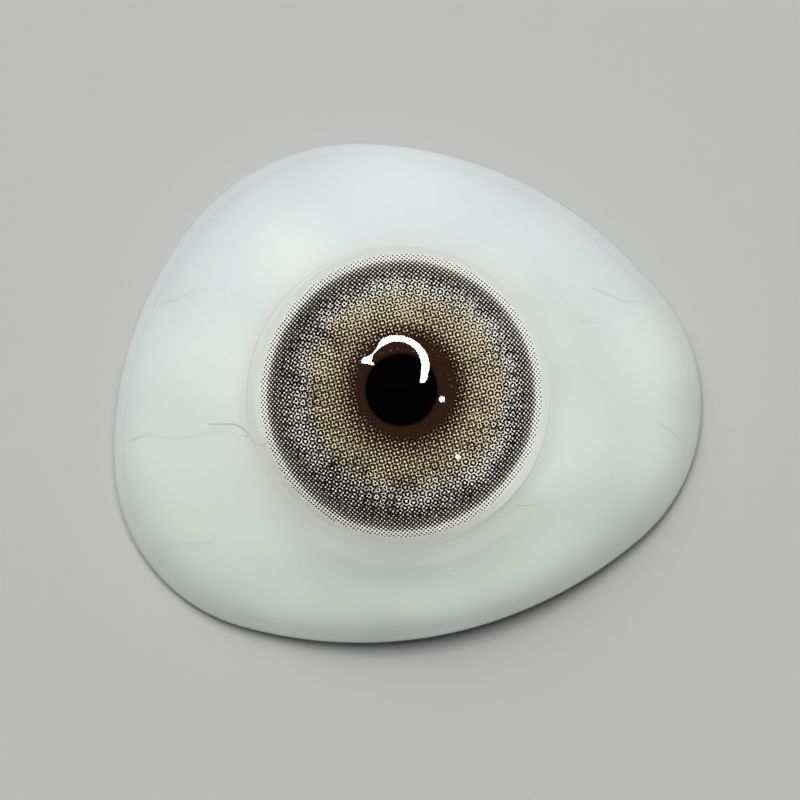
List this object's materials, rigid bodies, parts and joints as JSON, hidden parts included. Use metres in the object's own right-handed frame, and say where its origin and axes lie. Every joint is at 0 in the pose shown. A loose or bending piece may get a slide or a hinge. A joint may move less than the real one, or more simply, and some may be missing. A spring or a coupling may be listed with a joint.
{
  "type": "ocular prosthesis",
  "caption": "Thin rounded-triangle acrylic shell that stands in for the front of an eye, with a printed iris and black pupil under a clear domed front and a hollow back.",
  "frame": {"origin": "middle of the outline's bounding box, level with the surface that the rim's three lowest points rest on", "axes": "+Z out of the front of the eye, +X to the narrow end of the outline, +Y to the upper lid"},
  "size_m": [0.0248, 0.021, 0.0084],
  "materials": {
    "white_acrylic": "polished, slightly see-through white acrylic",
    "clear_acrylic": "polished clear acrylic",
    "iris_print": "film with a fine dot print, dark at the rim and round the pupil, grey and tan between",
    "pupil_black": "matt black film",
    "vein_fibre": "fine pinkish grey thread"
  },
  "bodies": {
    "root": {"scleral_body": "white_acrylic", "clear_front": "clear_acrylic", "iris_film": "iris_print", "pupil_disc": "pupil_black", "vein_thread_1": "vein_fibre", "vein_thread_2": "vein_fibre", "vein_thread_3": "vein_fibre", "vein_thread_4": "vein_fibre", "vein_thread_5": "vein_fibre", "vein_thread_6": "vein_fibre", "vein_thread_7": "vein_fibre", "vein_thread_8": "vein_fibre"}
  },
  "joints": []
}
